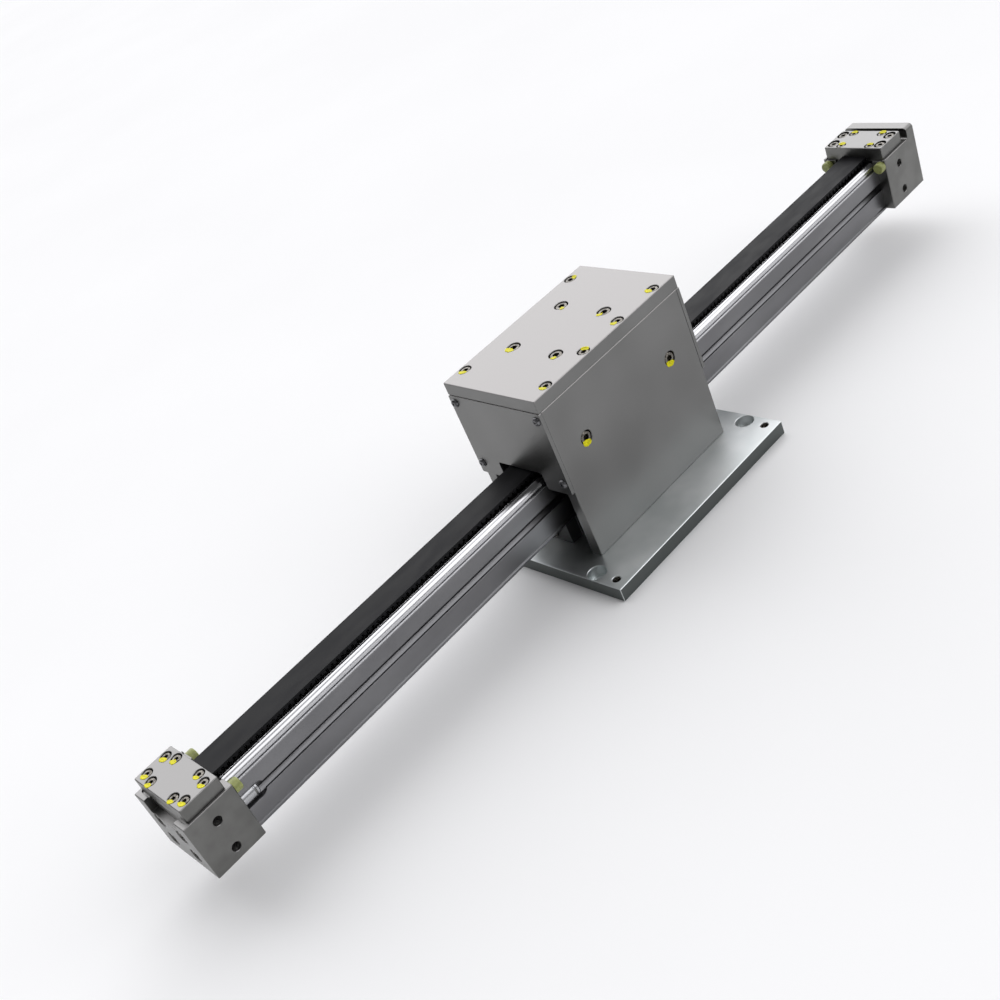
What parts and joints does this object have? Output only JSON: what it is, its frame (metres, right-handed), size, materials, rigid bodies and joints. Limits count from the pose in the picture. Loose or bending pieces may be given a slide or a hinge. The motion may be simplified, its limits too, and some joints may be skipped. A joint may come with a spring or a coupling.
{
  "type": "belt driven linear module",
  "caption": "Fixed carriage on a bolt-down plate with a square T-slot profile sliding through it, moved by a toothed belt that loops over a pulley inside.",
  "frame": {"origin": "centre of the base plate's bottom face, where the module bolts down", "axes": "+X along the profile towards the end block with the wall, +Y towards the drive opening, +Z out of the carriage's top plate"},
  "size_m": [0.878, 0.18, 0.16],
  "materials": {
    "anodised_plate": "satin clear anodised",
    "extrusion": "satin clear anodised extrusion",
    "plated_steel": "ground and plated",
    "bright_steel": "bright nickel plated",
    "dark_steel": "darkened",
    "bearing_steel": "ground",
    "belt_rubber": "smooth back, moulded teeth",
    "bumper_rubber": "matt",
    "guide_plastic": "moulded"
  },
  "bodies": {
    "carriage": {"base_plate": "plated_steel", "base_screws": "bright_steel", "belt_loop": "belt_rubber", "bracket_front": "anodised_plate", "bracket_rear": "anodised_plate", "bracket_screws": "bright_steel", "cover_far": "anodised_plate", "cover_near": "anodised_plate", "cover_screws_far": "dark_steel", "cover_screws_near": "dark_steel", "drive_bearing_outer_rings": "bearing_steel", "grease_nipples": "bright_steel", "guide_block_caps": "guide_plastic", "guide_block_far": "bearing_steel", "guide_block_near": "bearing_steel", "guide_block_screws": "bright_steel", "idler_axle_screws": "bright_steel", "idler_axles": "bearing_steel", "idler_bearing_inner_rings": "bearing_steel", "idler_spacers": "bearing_steel", "side_plate_front": "anodised_plate", "side_plate_rear": "anodised_plate", "top_plate": "anodised_plate", "top_plate_screws": "bright_steel"},
    "profile_set": {"profile": "extrusion", "guide_rail": "bearing_steel", "rail_screws": "bright_steel", "tension_screws": "bright_steel", "end_block_near": "anodised_plate", "clamp_plate_near": "anodised_plate", "clamp_jaw_near": "anodised_plate", "clamp_outer_screws_near": "bright_steel", "clamp_inner_screws_near": "bright_steel", "end_screws_near": "bright_steel", "bumpers_near": "bumper_rubber", "belt_run_near": "belt_rubber", "end_block_far": "anodised_plate", "clamp_plate_far": "anodised_plate", "clamp_jaw_far": "anodised_plate", "clamp_outer_screws_far": "bright_steel", "clamp_inner_screws_far": "bright_steel", "end_screws_far": "bright_steel", "bumpers_far": "bumper_rubber", "belt_run_far": "belt_rubber"},
    "drive_set": {"drive_shaft": "bearing_steel", "drive_pulley": "anodised_plate", "pulley_flanges": "anodised_plate", "shaft_spacers": "bearing_steel", "pulley_key": "bright_steel", "drive_bearing_inner_rings": "bearing_steel", "clamp_ring": "bearing_steel", "clamp_ring_screw": "bright_steel", "shaft_ring": "bright_steel"},
    "idler_near_set": {"idler_roller_near": "bearing_steel", "idler_bearings_near": "bearing_steel"},
    "idler_far_set": {"idler_roller_far": "bearing_steel", "idler_bearings_far": "bearing_steel"}
  },
  "joints": [
    {"name": "profile_slide", "type": "slide", "parent": "carriage", "child": "profile_set", "axis": [1, 0, 0], "range_m": [-0.295, 0.312], "deforming": ["belt_run_near", "belt_run_far", "belt_loop"]},
    {"name": "drive_turn", "type": "hinge", "parent": "carriage", "child": "drive_set", "pos_m": [0, 0, 0.1155], "axis": [0, 1, 0], "range_deg": [-627, 663]},
    {"name": "idler_near_turn", "type": "hinge", "parent": "carriage", "child": "idler_near_set", "pos_m": [-0.051, 0, 0.105], "axis": [0, 1, 0], "range_deg": [-986, 933]},
    {"name": "idler_far_turn", "type": "hinge", "parent": "carriage", "child": "idler_far_set", "pos_m": [0.051, 0, 0.105], "axis": [0, 1, 0], "range_deg": [-986, 933]}
  ],
  "couplings": [
    {"joint": "drive_turn", "follows": "profile_slide", "rad_per_m": 36.96},
    {"joint": "idler_near_turn", "follows": "profile_slide", "rad_per_m": -55.04},
    {"joint": "idler_far_turn", "follows": "profile_slide", "rad_per_m": -55.04}
  ]
}
